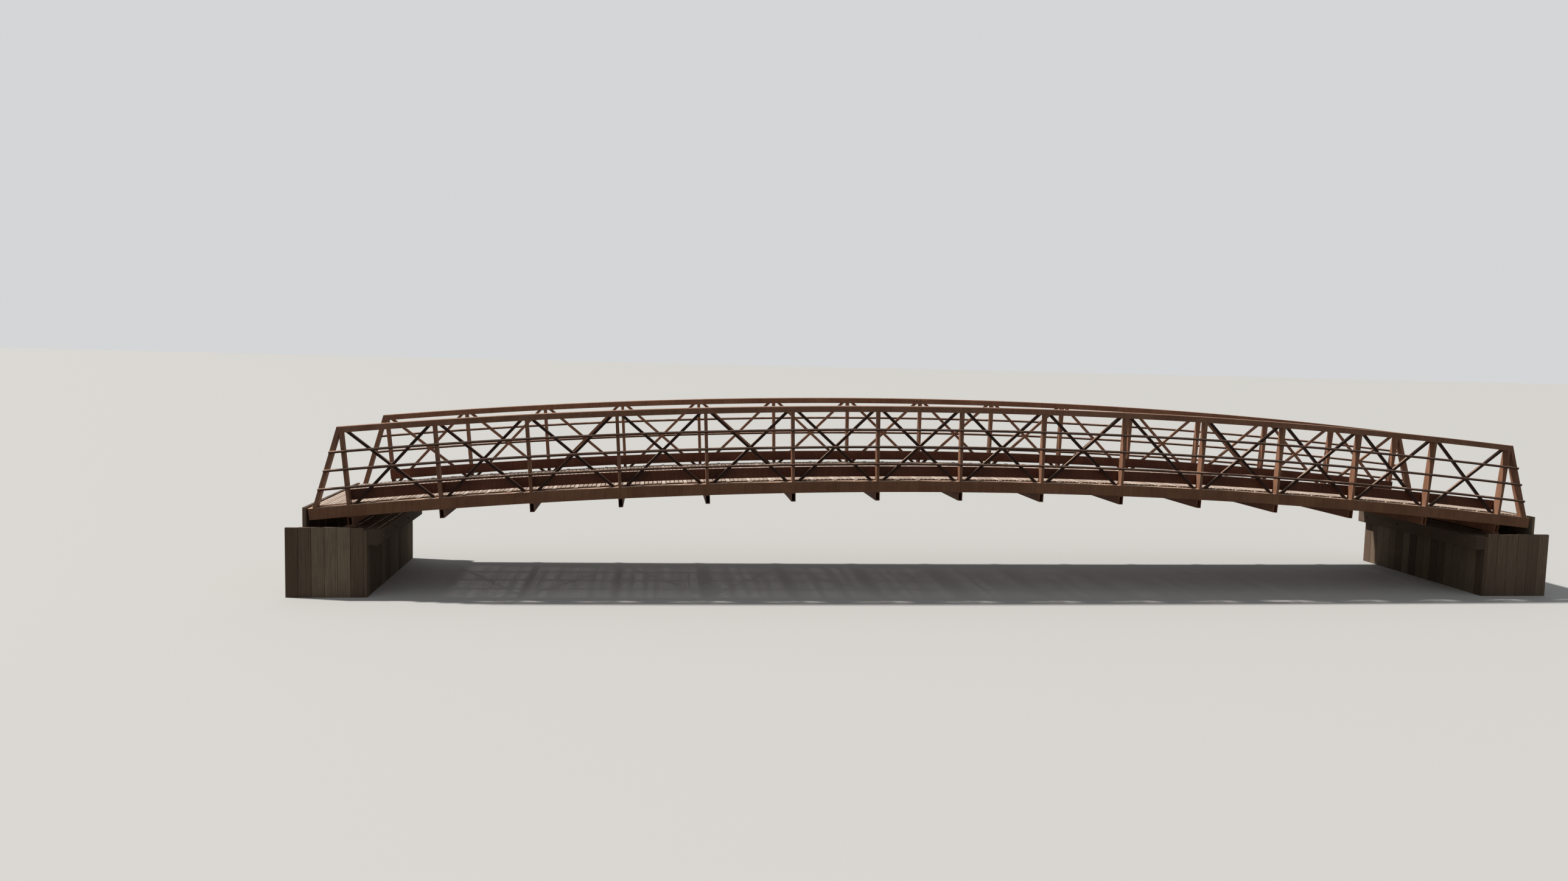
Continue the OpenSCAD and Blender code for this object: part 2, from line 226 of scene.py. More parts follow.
def weathered_paint(name, paint, faded, rust_amount, bleach_and_highlight_amount=0.7, bleach_and_highlight_from=0.3, bleach_and_highlight_colour=BLEACH_AND_HIGHLIGHT_COLOUR):
    """Dark paint on steel, faded in patches, with rust spots and streaks, lighter where it faces up:
    bleached, and a painted highlight.
    """
    material, tree, shader = new_paint(name)
    plain = stretched(tree, (1, 1, 1))
    patches = mottle(tree, plain, scale=2.1, low=0.35, high=0.70)
    colour = blend_colour(tree, patches, paint, faded)
    streaks = mottle(tree, stretched(tree, (26, 26, 1.4)), scale=1, low=0.45, high=0.75, detail=3)
    streak_amount = calculate(tree, "MULTIPLY", streaks, STREAK_STRENGTH)
    colour = blend_colour(tree, streak_amount, colour, tuple(STREAK_SHADE * c for c in paint))
    spots = mottle(tree, plain, scale=38, low=0.56, high=0.66, detail=6, roughness=0.7)
    fields = mottle(tree, plain, scale=3.3, low=0.42, high=0.66, detail=3)
    rust = calculate(tree, "MULTIPLY", calculate(tree, "MULTIPLY", spots, fields), rust_amount)
    colour = blend_colour(tree, rust, colour, RUST)
    # Faces that look up are lightened in patches, as bleached paint and painted highlight together.
    bleach_and_highlight_patches = mottle(tree, plain, scale=7, low=0.05, high=0.6)
    tops = upward(tree, bleach_and_highlight_from, bleach_and_highlight_from + BLEACH_AND_HIGHLIGHT_SPAN)
    bleach_and_highlight_mask = calculate(tree, "MULTIPLY", tops, bleach_and_highlight_patches)
    colour = blend_colour(tree, calculate(tree, "MULTIPLY", bleach_and_highlight_mask, bleach_and_highlight_amount), colour, bleach_and_highlight_colour)
    tree.links.new(colour, shader.inputs["Base Color"])
    shader.inputs["Specular IOR Level"].default_value = 0.2
    gloss = tree.nodes.new("ShaderNodeMapRange")
    gloss.inputs["To Min"].default_value = 0.45
    gloss.inputs["To Max"].default_value = 0.78
    dullness = calculate(tree, "MAXIMUM", rust, calculate(tree, "MULTIPLY", patches, FADED_DULLNESS))
    tree.links.new(dullness, gloss.inputs["Value"])
    tree.links.new(gloss.outputs[0], shader.inputs["Roughness"])
    grain = mottle(tree, plain, scale=160, low=0.2, high=0.8, detail=3)
    relief = calculate(tree, "ADD", calculate(tree, "MULTIPLY", grain, PAINT_GRAIN), rust)
    raise_surface(tree, shader, relief, depth=0.0006)
    return material


# The bottom chords' tops turn paler still: dust, and a painted highlight of the sun on them.
CHORD_DUST_AND_HIGHLIGHT = (0.620, 0.440, 0.330)
truss_paint = weathered_paint("truss_paint", (0.205, 0.098, 0.058), (0.285, 0.150, 0.095), rust_amount=0.7)
bottom_chord_paint = weathered_paint(
    "bottom_chord_paint", (0.185, 0.085, 0.045), (0.260, 0.130, 0.074),
    rust_amount=0.7, bleach_and_highlight_amount=1.0, bleach_and_highlight_from=0.2, bleach_and_highlight_colour=CHORD_DUST_AND_HIGHLIGHT)
BOTTOM_CHORDS = [f"{side}_bottom_chord_{end}" for side in ("near", "far") for end in ("left", "right")]
TRUSS_NODES = (
    [f"{side}_top_chord_{end}" for side in ("near", "far") for end in ("left", "right")]
    + [f"{side}_{piece}" for side in ("near", "far") for piece in ("posts", "end_posts")]
    + ["far_diagonals", "splice_plates"]
)


def paint_nodes(nodes, material):
    """Gives CAD nodes a material in place of their plain one."""
    for node in nodes:
        frame["nodes"][node].data.materials.clear()
        frame["nodes"][node].data.materials.append(material)


paint_nodes(TRUSS_NODES, truss_paint)
paint_nodes(BOTTOM_CHORDS, bottom_chord_paint)

# Welds: a rippled bead round both ends of every post and diagonal, across the corners where
# two diagonals cross, and along each rail where it rests on a post. They carry the same paint.
# The bay of the near truss that has lost its rising diagonal has only the other one's welds.
ARCH_R = 108.7
BAY = 1.524
HALF_BAYS = 7
crown_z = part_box("near_bottom_chord_left")[1].z


def on_arch(s):
    """The place and turn at the distance s from mid-span, at the bottom chords' top edge."""
    return (
        Matrix.Translation((0, 0, crown_z - ARCH_R))
        @ Matrix.Rotation(s / ARCH_R, 4, "Y")
        @ Matrix.Translation((0, 0, ARCH_R))
    )


def clear_selection():
    """Leaves no object selected, so that an operator touches only what it should."""
    if bpy.context.object and bpy.context.object.mode != "OBJECT":
        bpy.ops.object.mode_set(mode="OBJECT")
    bpy.ops.object.select_all(action="DESELECT")


def copy_piece(piece, name):
    """A copy with its own mesh."""
    made = piece.copy()
    made.data = piece.data.copy()
    made.name = name
    bpy.context.scene.collection.objects.link(made)
    return made


def join_pieces(pieces, name):
    """Joins pieces into one object, which stays at the origin."""
    clear_selection()
    for piece in pieces:
        piece.select_set(True)
    bpy.context.view_layer.objects.active = pieces[0]
    bpy.ops.object.join()
    joined = bpy.context.object
    joined.name = name
    return joined


def place_copies(pattern, places, name):
    """Joins a copy of the pattern at each place into one piece."""
    copies = []
    for place in places:
        made = copy_piece(pattern, name)
        made.data.transform(place)
        copies.append(made)
    return join_pieces(copies, name)


WELD_R = 0.005
WELD_CUTS = 5
WELD_RIPPLE = (0.75, 1.15)
welding = random.Random(3)


def weld_bead(name, length, width):
    """A bead of weld round a level rectangle, or along X where the width is 0."""
    clear_selection()
    bpy.ops.mesh.primitive_plane_add(size=1)
    bead = bpy.context.object
    bead.name = name
    bead.scale = (length, width, 1)
    bpy.ops.object.transform_apply(location=False, rotation=False, scale=True)
    bpy.ops.object.mode_set(mode="EDIT")
    bpy.ops.mesh.delete(type="ONLY_FACE")
    bpy.ops.mesh.select_all(action="SELECT")
    bpy.ops.mesh.remove_doubles(threshold=0.0001)
    bpy.ops.mesh.subdivide(number_cuts=WELD_CUTS)
    bpy.ops.object.mode_set(mode="OBJECT")
    bpy.ops.object.convert(target="CURVE")
    bead = bpy.context.object
    bead.data.bevel_depth = WELD_R
    bead.data.bevel_resolution = 1
    bead.data.use_fill_caps = True
    for spline in bead.data.splines:
        for point in spline.points:
            point.radius = welding.uniform(*WELD_RIPPLE)
    bpy.ops.object.convert(target="MESH")
    bpy.ops.object.shade_smooth()
    return bpy.context.object


chord_low, chord_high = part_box("near_bottom_chord_left")
inner_y = -chord_high.y
outer_y = -chord_low.y
mid_y = (inner_y + outer_y) / 2
TOP_CHORD_H = 0.106
truss_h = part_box("near_top_chord_left")[1].z - crown_z - TOP_CHORD_H
POST_W = 0.054
BRACE_W = 0.051
BRACE_FOOT = 0.106
PIPE_R = 0.023
PIPE_DROP = 0.014
RAIL_ROWS = {"lower": 0.317, "middle": 0.625, "upper": 0.933}


def arch_point(s, level):
    """The point at the distance s and at a level, in the frame that on_arch gives at mid-span."""
    turn = s / ARCH_R
    return Vector(((ARCH_R + level) * math.sin(turn), 0, (ARCH_R + level) * math.cos(turn) - ARCH_R))


foot = arch_point(BAY / 2 - BRACE_FOOT, 0)
head = arch_point(BAY / 2 - BRACE_FOOT, truss_h)
cross_z = foot.z + (head.z - foot.z) * foot.x / (foot.x + head.x)
brace_length = BRACE_W * math.hypot(head.x + foot.x, head.z - foot.z) / (head.z - foot.z)
BEAD_OUT = 0.002
POST_BEAD_IN = 0.008
RAIL_BEAD_IN = 0.016
OPEN_BAY = (-1, 2)
ACROSS = Matrix.Rotation(math.pi / 2, 4, "Z")
corner = BRACE_W / math.sqrt(2)
post_bead = weld_bead("post_bead", POST_W + BEAD_OUT, outer_y - inner_y - POST_BEAD_IN)
brace_bead = weld_bead("brace_bead", brace_length + BEAD_OUT, BRACE_W + BEAD_OUT)
cross_bead = weld_bead("cross_bead", BRACE_W, 0)
rail_bead = weld_bead("rail_bead", POST_W - RAIL_BEAD_IN, 0)
for side, way in (("near", -1), ("far", 1)):
    truss = Matrix.Translation((0, way * mid_y, 0))
    post_welds = [
        on_arch(k * BAY) @ truss @ Matrix.Translation((0, 0, level))
        for k in range(-HALF_BAYS, HALF_BAYS + 1) for level in (0, truss_h)
    ]
    brace_welds = [
        on_arch((k + 0.5) * BAY) @ truss @ Matrix.Translation((turn * end.x, 0, end.z))
        for k in range(-HALF_BAYS, HALF_BAYS) for end, kept in ((foot, 1), (head, -1)) for turn in (-1, 1)
        if (way, k) != OPEN_BAY or turn == kept
    ]
    cross_welds = [
        on_arch((k + 0.5) * BAY) @ truss @ Matrix.Translation((x, 0, cross_z + z)) @ ACROSS
        for k in range(-HALF_BAYS, HALF_BAYS)
        for x, z in ((-corner, 0), (corner, 0), (0, -corner), (0, corner))
        if (way, k) != OPEN_BAY
    ]
    rail_welds = [
        on_arch(k * BAY) @ Matrix.Translation((0, way * outer_y, level - PIPE_DROP + half * PIPE_R / 2))
        for k in range(-HALF_BAYS, HALF_BAYS + 1) for level in RAIL_ROWS.values() for half in (-1, 1)
    ]
    welds = join_pieces([
        place_copies(post_bead, post_welds, "post_welds"),
        place_copies(brace_bead, brace_welds, "brace_welds"),
        place_copies(cross_bead, cross_welds, "cross_welds"),
        place_copies(rail_bead, rail_welds, "rail_welds"),
    ], f"{side}_truss_welds")
    welds.data.materials.append(truss_paint)
    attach(welds, "root")
for pattern in (post_bead, brace_bead, cross_bead, rail_bead):
    bpy.data.objects.remove(pattern)

# Near diagonals: square steel bars with rounded edges, welded to the chords and to each other.
# One bay has lost its rising bar. So in a copy of the imported ones the crossed pair is taken out
# of that bay, and the falling bar alone is put back, with its ends cut level in the chords.
# Their paint is far darker than the far truss's diagonals, as painted shade on the side away from the sun,
# and their faces that look up carry a painted highlight.
near_brace_painted_shade = weathered_paint(
    "near_brace_painted_shade", (0.030, 0.012, 0.008), (0.048, 0.021, 0.013),
    rust_amount=0.4, bleach_and_highlight_amount=0.75, bleach_and_highlight_from=0.1)
BRACE_EDGE_R = 0.008
BRACE_EDGE_STEPS = 4
BRACE_SPARE = 4 * BRACE_W
BRACE_SINK = 0.001
MERGE_WITHIN = 0.00001


def make_active(piece):
    """Selects one piece alone, ready for an operator."""
    clear_selection()
    piece.select_set(True)
    bpy.context.view_layer.objects.active = piece


def merged_copy(node, name, material):
    """A copy of a CAD node in another material, with the corners of its loose triangles joined."""
    made = bpy.data.objects.new(name, frame["nodes"][node].data.copy())
    bpy.context.scene.collection.objects.link(made)
    made.data.materials.clear()
    made.data.materials.append(material)
    make_active(made)
    bpy.ops.object.mode_set(mode="EDIT")
    bpy.ops.mesh.select_all(action="SELECT")
    bpy.ops.mesh.remove_doubles(threshold=MERGE_WITHIN)
    bpy.ops.mesh.select_all(action="DESELECT")
    bpy.ops.object.mode_set(mode="OBJECT")
    return made


near_braces = merged_copy("near_diagonals", "near_braces", near_brace_painted_shade)
open_bay = on_arch((OPEN_BAY[1] + 0.5) * BAY)
into_bay = open_bay.inverted()
for vertex in near_braces.data.vertices:
    vertex.select = abs((into_bay @ vertex.co).x) < BAY / 2
bpy.ops.object.mode_set(mode="EDIT")
bpy.ops.mesh.delete(type="VERT")
clear_selection()
bar_line = Vector((-head.x - foot.x, 0, head.z - foot.z))
bpy.ops.mesh.primitive_cube_add(size=1, scale=(BRACE_W, BRACE_W, bar_line.length + BRACE_SPARE))
bar = bpy.context.object
bar.data.transform(bar_line.to_track_quat("Z", "Y").to_matrix().to_4x4())
bar.data.transform(Matrix.Translation(Vector((foot.x, 0, foot.z)) + bar_line / 2))
rounding = bar.modifiers.new("rounding", "BEVEL")
rounding.width = BRACE_EDGE_R
rounding.segments = BRACE_EDGE_STEPS
bpy.ops.object.modifier_apply(modifier=rounding.name)
bpy.ops.object.mode_set(mode="EDIT")
for cut_z, cut_way in ((foot.z - BRACE_SINK, 1), (head.z + BRACE_SINK, -1)):
    bpy.ops.mesh.select_all(action="SELECT")
    bpy.ops.mesh.bisect(plane_co=(0, 0, cut_z), plane_no=(0, 0, cut_way), use_fill=True, clear_inner=True)
bpy.ops.object.mode_set(mode="OBJECT")
bar.data.transform(open_bay @ Matrix.Translation((0, OPEN_BAY[0] * mid_y, 0)))
bar.data.materials.append(near_brace_painted_shade)
near_braces = join_pieces([near_braces, bar], "near_braces")
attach(near_braces, "root")
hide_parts("near_diagonals")

# Rails: three steel pipes on the outside of each truss, bent to the arch and welded to the posts,
# in a dark coat, lighter on top: partly rubbed by hands and weather, partly a painted highlight.
# They stand in for the packed square tubes, and end where those end.
rail_paint = weathered_paint(
    "rail_paint", (0.056, 0.024, 0.015), (0.084, 0.039, 0.026),
    rust_amount=0.6, bleach_and_highlight_amount=1.0, bleach_and_highlight_from=0.05)
PIPE_STEPS = 56
PIPE_ROUNDNESS = 4
for side, way in (("near", -1), ("far", 1)):
    for row, level in RAIL_ROWS.items():
        node = f"{side}_{row}_rail"
        reach = math.asin(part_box(node)[1].x / (ARCH_R + level)) * ARCH_R
        line = bpy.data.curves.new(f"{side}_{row}_pipe", "CURVE")
        line.dimensions = "3D"
        line.bevel_depth = PIPE_R
        line.bevel_resolution = PIPE_ROUNDNESS
        line.use_fill_caps = True
        spline = line.splines.new("POLY")
        spline.points.add(PIPE_STEPS)
        for step, point in enumerate(spline.points):
            place = on_arch(reach * (2 * step / PIPE_STEPS - 1))
            point.co = (*(place @ Vector((0, way * (outer_y + PIPE_R), level - PIPE_DROP))), 1)
        pipe = bpy.data.objects.new(line.name, line)
        bpy.context.scene.collection.objects.link(pipe)
        make_active(pipe)
        bpy.ops.object.convert(target="MESH")
        bpy.ops.object.shade_smooth()
        pipe = bpy.context.object
        pipe.data.materials.append(rail_paint)
        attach(pipe, "root")
        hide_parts(node)

# Toe boards: long steel plates welded inside the posts, a redder brown where shoes have scuffed
# them. Their paint is darker than the truss's, partly as painted shade, with a painted highlight
# on their top edges. Copies of the imported ones are set a little lower and made taller, close over the
# deck.
toe_paint = weathered_paint(
    "toe_paint", (0.088, 0.030, 0.018), (0.150, 0.058, 0.034), rust_amount=0.9, bleach_and_highlight_amount=0.6)
TOE_LOW = 0.064
TOE_HIGH = 0.247


def set_between(mesh, low_level, high_level):
    """Moves a mesh that follows the arch in and out along its spokes, to lie between two levels."""
    centre = Vector((0, 0, crown_z - ARCH_R))
    levels = [math.hypot(v.co.x, v.co.z - centre.z) - ARCH_R for v in mesh.vertices]
    low, high = min(levels), max(levels)
    for vertex, level in zip(mesh.vertices, levels):
        spoke = Vector((vertex.co.x, 0, vertex.co.z - centre.z)).normalized()
        share = (level - low) / (high - low)
        vertex.co += spoke * (low_level + share * (high_level - low_level) - level)


for side in ("near", "far"):
    plates = merged_copy(f"{side}_toe_board", f"{side}_toe_plates", toe_paint)
    set_between(plates.data, TOE_LOW, TOE_HIGH)
    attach(plates, "root")
    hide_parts(f"{side}_toe_board")

# Floor framing: joists, end beams, open tubes under the posts and thin wind braces, welded
# together in the same paint, with more rust because they stay damp.
framing_paint = weathered_paint(
    "framing_paint", (0.210, 0.092, 0.052), (0.330, 0.155, 0.090), rust_amount=1.2)
framing_paint.node_tree.nodes["Principled BSDF"].inputs["Specular IOR Level"].default_value = 0.08
paint_nodes(["joists", "end_beams", "floor_beams", "wind_bracing"], framing_paint)


# Deck boards: narrow softwood boards with gaps between them, bleached by weather and held to each
# joist by one screw, now on one side of the middle and now on the other. Every fifth board is
# longer, newer and paler, and reaches over the bottom chords. The short ones end unevenly.
def sawn_timber(name, size, edge, cuts):
    """A sawn timber round the origin, with eased edges, cut into lengths along its longest side."""
    clear_selection()
    bpy.ops.mesh.primitive_cube_add(size=1, scale=size)
    timber = bpy.context.object
    timber.name = name
    bpy.ops.object.mode_set(mode="EDIT")
    bpy.ops.mesh.select_all(action="SELECT")
    bpy.ops.mesh.bevel(offset=edge, segments=2, affect="EDGES")
    long_side = max(range(3), key=lambda i: size[i])
    along = Vector([1.0 if i == long_side else 0.0 for i in range(3)])
    for i in range(1, cuts):
        bpy.ops.mesh.select_all(action="SELECT")
        bpy.ops.mesh.bisect(plane_co=along * size[long_side] * (i / cuts - 0.5), plane_no=along)
    bpy.ops.object.mode_set(mode="OBJECT")
    return timber


def set_tone(mesh, tone):
    """Writes one number on a whole board, which its material reads for its shade and grain."""
    mark = mesh.attributes.new("tone", "FLOAT", "POINT")
    mark.data.foreach_set("value", [tone] * len(mesh.vertices))


def facing(tree, axis):
    """1 on the faces across an axis, such as the cut ends of a board, and 0 on the rest."""
    return spread_out(tree, calculate(tree, "ABSOLUTE", normal_part(tree, axis), 0), low=0.6, high=0.8)


TONE_SLIDE = (31.0, 17.0, 23.0)
GRAIN_ALONG = 1.6
GRAIN_ACROSS = 75
GRAIN_SHADE = 0.42
GRAIN_STRENGTH = 0.55
GRAIN_HEIGHT = -0.4
CHECKS_ALONG = 2.2
CHECKS_ACROSS = 150
CHECK_DARK = (0.035, 0.025, 0.018)
CHECK_STRENGTH = 0.7
STAIN_DARK = (0.105, 0.082, 0.064)
STAIN_STRENGTH = 0.35
END_STRENGTH = 0.85


def weathered_wood(name, shades, along, grain_depth, end_grain):
    """Bare boards gone grey: a shade for each board, grain along it, dark checks and stains."""
    material, tree, shader = new_paint(name)
    tone = tree.nodes.new("ShaderNodeAttribute")
    tone.attribute_name = "tone"
    slide = tree.nodes.new("ShaderNodeCombineXYZ")
    for socket, step in zip(slide.inputs, TONE_SLIDE):
        tree.links.new(calculate(tree, "MULTIPLY", tone.outputs["Fac"], step), socket)
    ramp = tree.nodes.new("ShaderNodeValToRGB")
    while len(ramp.color_ramp.elements) < len(shades):
        ramp.color_ramp.elements.new(0.5)
    for element, (position, shade) in zip(ramp.color_ramp.elements, shades):
        element.position = position
        element.color = (*shade, 1)
    tree.links.new(tone.outputs["Fac"], ramp.inputs["Fac"])
    grain_scale = tuple(GRAIN_ALONG if i == along else GRAIN_ACROSS for i in range(3))
    grain_place = stretched(tree, grain_scale, slide.outputs[0])
    grain = mottle(tree, grain_place, scale=1, low=0.34, high=0.72, detail=6, roughness=0.62)
    grain_amount = calculate(tree, "MULTIPLY", grain, GRAIN_STRENGTH)
    grain_colour = tuple(GRAIN_SHADE * c for c in shades[0][1])
    colour = blend_colour(tree, grain_amount, ramp.outputs["Color"], grain_colour)
    check_scale = tuple(CHECKS_ALONG if i == along else CHECKS_ACROSS for i in range(3))
    check_place = stretched(tree, check_scale, slide.outputs[0])
    checks = mottle(tree, check_place, scale=1, low=0.64, high=0.70, detail=3, roughness=0.5)
    colour = blend_colour(tree, calculate(tree, "MULTIPLY", checks, CHECK_STRENGTH), colour, CHECK_DARK)
    plain = stretched(tree, (1, 1, 1), slide.outputs[0])
    stains = mottle(tree, plain, scale=5.5, low=0.45, high=0.78, detail=5)
    colour = blend_colour(tree, calculate(tree, "MULTIPLY", stains, STAIN_STRENGTH), colour, STAIN_DARK)
    ends = calculate(tree, "MULTIPLY", facing(tree, along), END_STRENGTH)
    colour = blend_colour(tree, ends, colour, end_grain)
    tree.links.new(colour, shader.inputs["Base Color"])
    shader.inputs["Roughness"].default_value = 0.86
    relief = calculate(tree, "SUBTRACT", calculate(tree, "MULTIPLY", grain, GRAIN_HEIGHT), checks)
    raise_surface(tree, shader, relief, grain_depth)
    return material


BOARDS_PER_BAY = 20
LONG_EVERY = 5
BOARD_PITCH = BAY / BOARDS_PER_BAY
BOARD_W = 0.064
BOARD_T = 0.018
BOARD_EDGE = 0.005
BOARD_CUTS = 7
BOARD_SWAY = 0.0016
BOARD_CUP = 0.0009
BOARD_WAVES = 0.9
BOARD_NOISE_SPAN = 50
LONG_BOARD_REACH = 1.620
SHORT_BOARD_REACH = 1.5195
LONG_BOARD_TONES = (0.84, 1.0)
SHORT_BOARD_TONES = (0.0, 0.78)
LAID_ALONG = 0.0015
LAID_ACROSS = 0.004
LAID_ASKEW = 0.0006
LAID_OVER = 0.0005
end_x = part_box("deck_right")[1].x
end_s = ARCH_R * math.asin(end_x / (ARCH_R + BOARD_T))
deck_wood = weathered_wood(
    "deck_wood",
    shades=((0.0, (0.430, 0.318, 0.252)), (0.45, (0.540, 0.415, 0.338)),
            (0.75, (0.630, 0.500, 0.415)), (1.0, (0.780, 0.670, 0.575))),
    along=1, grain_depth=0.0018, end_grain=(0.360, 0.220, 0.145))
screw_steel, _, screw_shader = new_paint("screw_steel")
screw_shader.inputs["Base Color"].default_value = (0.16, 0.12, 0.10, 1)
screw_shader.inputs["Metallic"].default_value = 0.6
screw_shader.inputs["Roughness"].default_value = 0.55
JOIST_REACH = 1.4945
JOIST_YS = [JOIST_REACH * share for share in (-1, -0.5, 0, 0.5, 1)]
SCREW_OFF = 0.009
SCREW_HEAD_R = 0.0052
SCREW_HEAD_H = 0.003
SCREW_TAPER = 0.8
SCREW_SINK = 0.0003


def deck_board(name, length):
    """A deck board round the origin, with the heads of its screws."""
    board = sawn_timber(name, (BOARD_W, length, BOARD_T), BOARD_EDGE, BOARD_CUTS)
    board.data.materials.append(deck_wood)
    pieces = [board]
    for i, y in enumerate(JOIST_YS):
        clear_selection()
        bpy.ops.mesh.primitive_cone_add(
            vertices=8, radius1=SCREW_HEAD_R, radius2=SCREW_HEAD_R * SCREW_TAPER, depth=SCREW_HEAD_H,
            location=(SCREW_OFF * (-1) ** i, y, BOARD_T / 2 - SCREW_SINK))
        screw = bpy.context.object
        bpy.ops.object.transform_apply(location=True, rotation=False, scale=False)
        screw.data.materials.append(screw_steel)
        pieces.append(screw)
    return join_pieces(pieces, name)


LAYING_SEED = 41
laying = random.Random(LAYING_SEED)
# Without a seed of its own, the warp of boards and planks would follow the clock.
noise.seed_set(LAYING_SEED)
short_board = deck_board("short_board", 2 * SHORT_BOARD_REACH)
long_board = deck_board("long_board", 2 * LONG_BOARD_REACH)
board_count = int((end_s - BOARD_W / 2) / BOARD_PITCH)
for end, numbers in (("left", range(-board_count, 0)), ("right", range(0, board_count + 1))):
    boards = []
    for number in numbers:
        at_post = number % BOARDS_PER_BAY == 0
        past_posts = abs(number) > HALF_BAYS * BOARDS_PER_BAY
        is_long = number % LONG_EVERY == 0 and not at_post and not past_posts
        board = copy_piece(long_board if is_long else short_board, "board")
        warp = Vector((laying.random(), laying.random(), laying.random())) * BOARD_NOISE_SPAN
        for vertex in board.data.vertices:
            wave = noise.noise_vector(Vector((0, vertex.co.y * BOARD_WAVES, 0)) + warp)
            vertex.co.x += BOARD_SWAY * wave.x
            if vertex.co.z > 0:
                vertex.co.z += BOARD_CUP * wave.z
        tones = LONG_BOARD_TONES if is_long else SHORT_BOARD_TONES
        set_tone(board.data, laying.uniform(*tones))
        slip = laying.uniform(-LAID_ALONG, LAID_ALONG)
        reach = laying.uniform(-LAID_ACROSS, LAID_ACROSS)
        board.data.transform(
            on_arch(number * BOARD_PITCH)
            @ Matrix.Translation((slip, reach, BOARD_T / 2 + LAID_OVER))
            @ Matrix.Rotation(laying.uniform(-LAID_ASKEW, LAID_ASKEW), 4, "Z")
        )
        boards.append(board)
    deck = join_pieces(boards, f"deck_boards_{end}")
    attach(deck, "root")
    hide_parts(f"deck_{end}")
for pattern in (short_board, long_board):
    bpy.data.objects.remove(pattern)

# Bearings: a bevelled steel plate, a black rubber pad and a base plate under each corner,
# held down by two anchor bolts with washers and nuts.
bearing_paint = weathered_paint(
    "bearing_paint", (0.150, 0.068, 0.041), (0.240, 0.117, 0.070), rust_amount=1.6)
paint_nodes(["sole_plates", "base_plates"], bearing_paint)
rubber, rubber_tree, rubber_shader = new_paint("bearing_rubber")
rubber_dust = mottle(rubber_tree, stretched(rubber_tree, (1, 1, 1)), scale=30, low=0.4, high=0.9, detail=5)
rubber_tree.links.new(
    blend_colour(rubber_tree, rubber_dust, (0.012, 0.012, 0.013), (0.055, 0.050, 0.045)),
    rubber_shader.inputs["Base Color"])
rubber_shader.inputs["Roughness"].default_value = 0.8
raise_surface(rubber_tree, rubber_shader, rubber_dust, depth=0.0004)
paint_nodes(["rubber_pads"], rubber)

NUT_R = 0.0173
NUT_H = 0.016
NUT_EDGE = 0.0018
WASHER_R = 0.022
WASHER_T = 0.003
WASHER_EDGE = 0.0006
BOLT_R = 0.010
BOLT_OUT = 0.036
BOLT_EDGE = 0.0015


def fastener(name):
    """A bolt's end with its nut and washer, standing on the origin."""
    clear_selection()
    bpy.ops.mesh.primitive_cylinder_add(
        vertices=20, radius=WASHER_R, depth=WASHER_T, location=(0, 0, WASHER_T / 2))
    washer = bpy.context.object
    bpy.ops.mesh.primitive_cylinder_add(
        vertices=6, radius=NUT_R, depth=NUT_H, location=(0, 0, WASHER_T + NUT_H / 2))
    nut = bpy.context.object
    bpy.ops.mesh.primitive_cylinder_add(
        vertices=12, radius=BOLT_R, depth=BOLT_OUT, location=(0, 0, BOLT_OUT / 2))
    bolt = bpy.context.object
    for piece, edge in ((washer, WASHER_EDGE), (nut, NUT_EDGE), (bolt, BOLT_EDGE)):
        make_active(piece)
        bpy.ops.object.transform_apply(location=True, rotation=False, scale=False)
        bpy.ops.object.mode_set(mode="EDIT")
        bpy.ops.mesh.select_all(action="SELECT")
        bpy.ops.mesh.bevel(offset=edge, segments=1, affect="EDGES")
        bpy.ops.object.mode_set(mode="OBJECT")
    return join_pieces([washer, nut, bolt], name)


anchor = fastener("anchor")
anchor_places = []
for mount in frame["record"]["mounts"]:
    if mount["kind"] == "bolt_pattern":
        middle = Vector(mount["pos_m"])
        half_x = mount["dims"]["spacing_x_mm"] / 2000
        half_y = mount["dims"]["spacing_y_mm"] / 2000
        for x in (-half_x, half_x):
            for y in (-half_y, half_y):
                anchor_places.append(Matrix.Translation(middle + Vector((x, y, 0))))
anchors = place_copies(anchor, anchor_places, "anchor_bolts")
anchors.data.materials.append(bearing_paint)
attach(anchors, "root")

# Abutment beams: one heavy sawn timber carries the bearings, and another is bolted across the
# front of the wall. Both have gone grey-brown, with long drying cracks along them.
beam_wood = weathered_wood(
    "beam_wood",
    shades=((0.0, (0.118, 0.078, 0.052)), (0.5, (0.165, 0.112, 0.076)), (1.0, (0.225, 0.160, 0.112))),
    along=1, grain_depth=0.004, end_grain=(0.070, 0.045, 0.030))
BEAM_EDGE = 0.012
BEAM_CUTS = 12
BEAM_TONES = (0.1, 0.9)
wearing = random.Random(7)

for end in ("left", "right"):
    for part in ("cap_beam", "waling"):
        node = f"{end}_{part}"
        low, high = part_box(node)
        beam = sawn_timber(f"{node}_timber", tuple(high - low), BEAM_EDGE, BEAM_CUTS)
        beam.data.transform(Matrix.Translation((low + high) / 2))
        set_tone(beam.data, wearing.uniform(*BEAM_TONES))
        beam.data.materials.append(beam_wood)
        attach(beam, "root")
        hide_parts(node)

